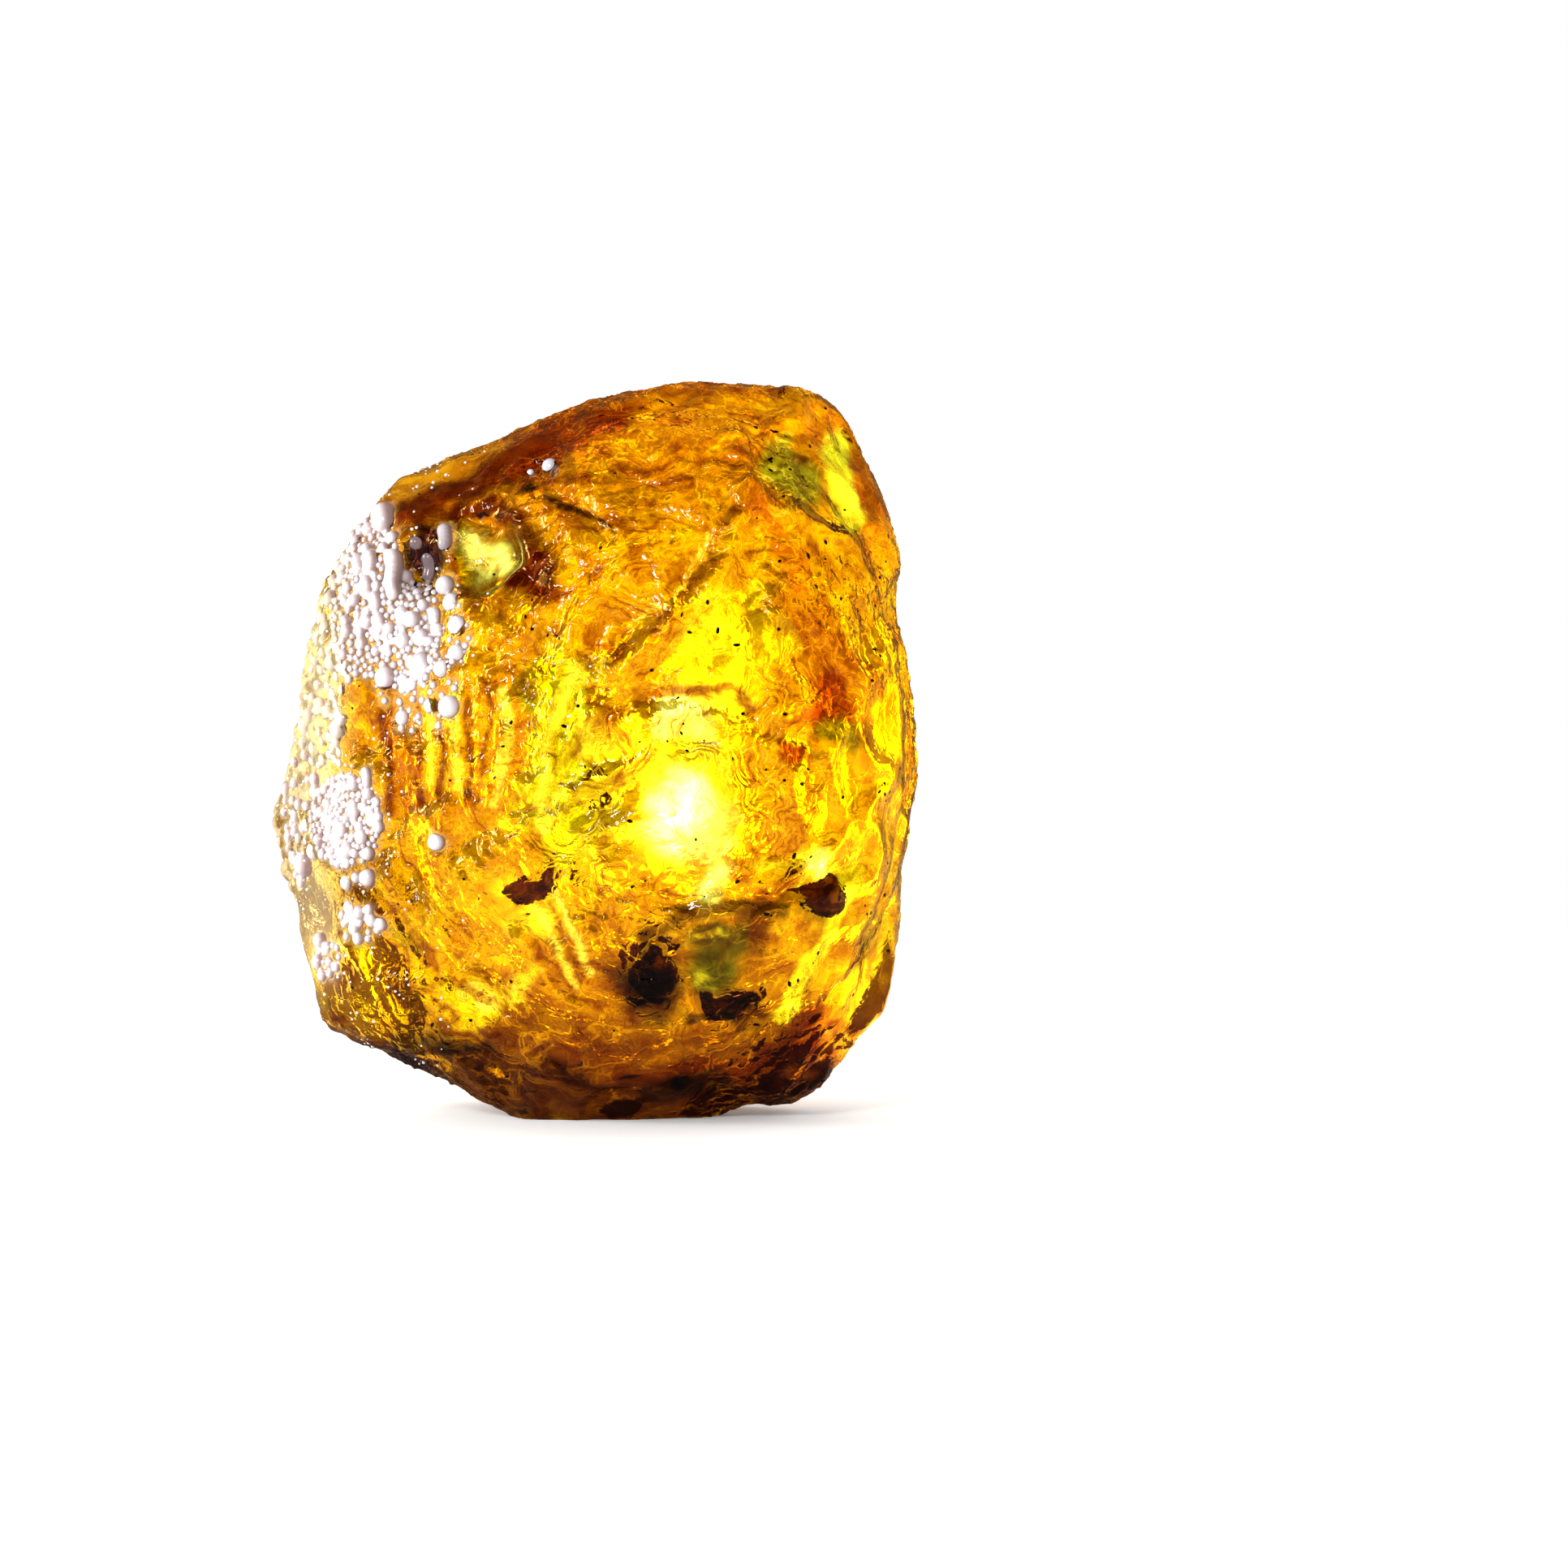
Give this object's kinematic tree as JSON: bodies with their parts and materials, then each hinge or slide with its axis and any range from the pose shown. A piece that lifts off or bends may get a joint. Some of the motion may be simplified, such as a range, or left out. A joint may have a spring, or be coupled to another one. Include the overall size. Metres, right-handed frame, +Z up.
{
  "type": "raw amber piece",
  "caption": "Rough lump of clear golden amber with a crust of round knobs on one flank and bark chips sealed inside, standing on a broken flat face.",
  "frame": {"origin": "on the ground, under the middle of the lump's box; the lump stands on its broken base face at Z = 0", "axes": "+Z up, the longest way of the lump; +X to the right as seen from the front; -Y is the front, where the last resin flow bulges, so Y is the thinnest way"},
  "size_m": [0.0432, 0.0298, 0.0489],
  "materials": {
    "amber": "gloss",
    "bark": "matte"
  },
  "bodies": {
    "root": {"amber_front": "amber", "amber_back": "amber", "bark_flake": "bark", "bark_splinter": "bark", "bark_chunk_left": "bark", "bark_chunk_right": "bark", "bark_chunk_low": "bark"}
  },
  "joints": []
}
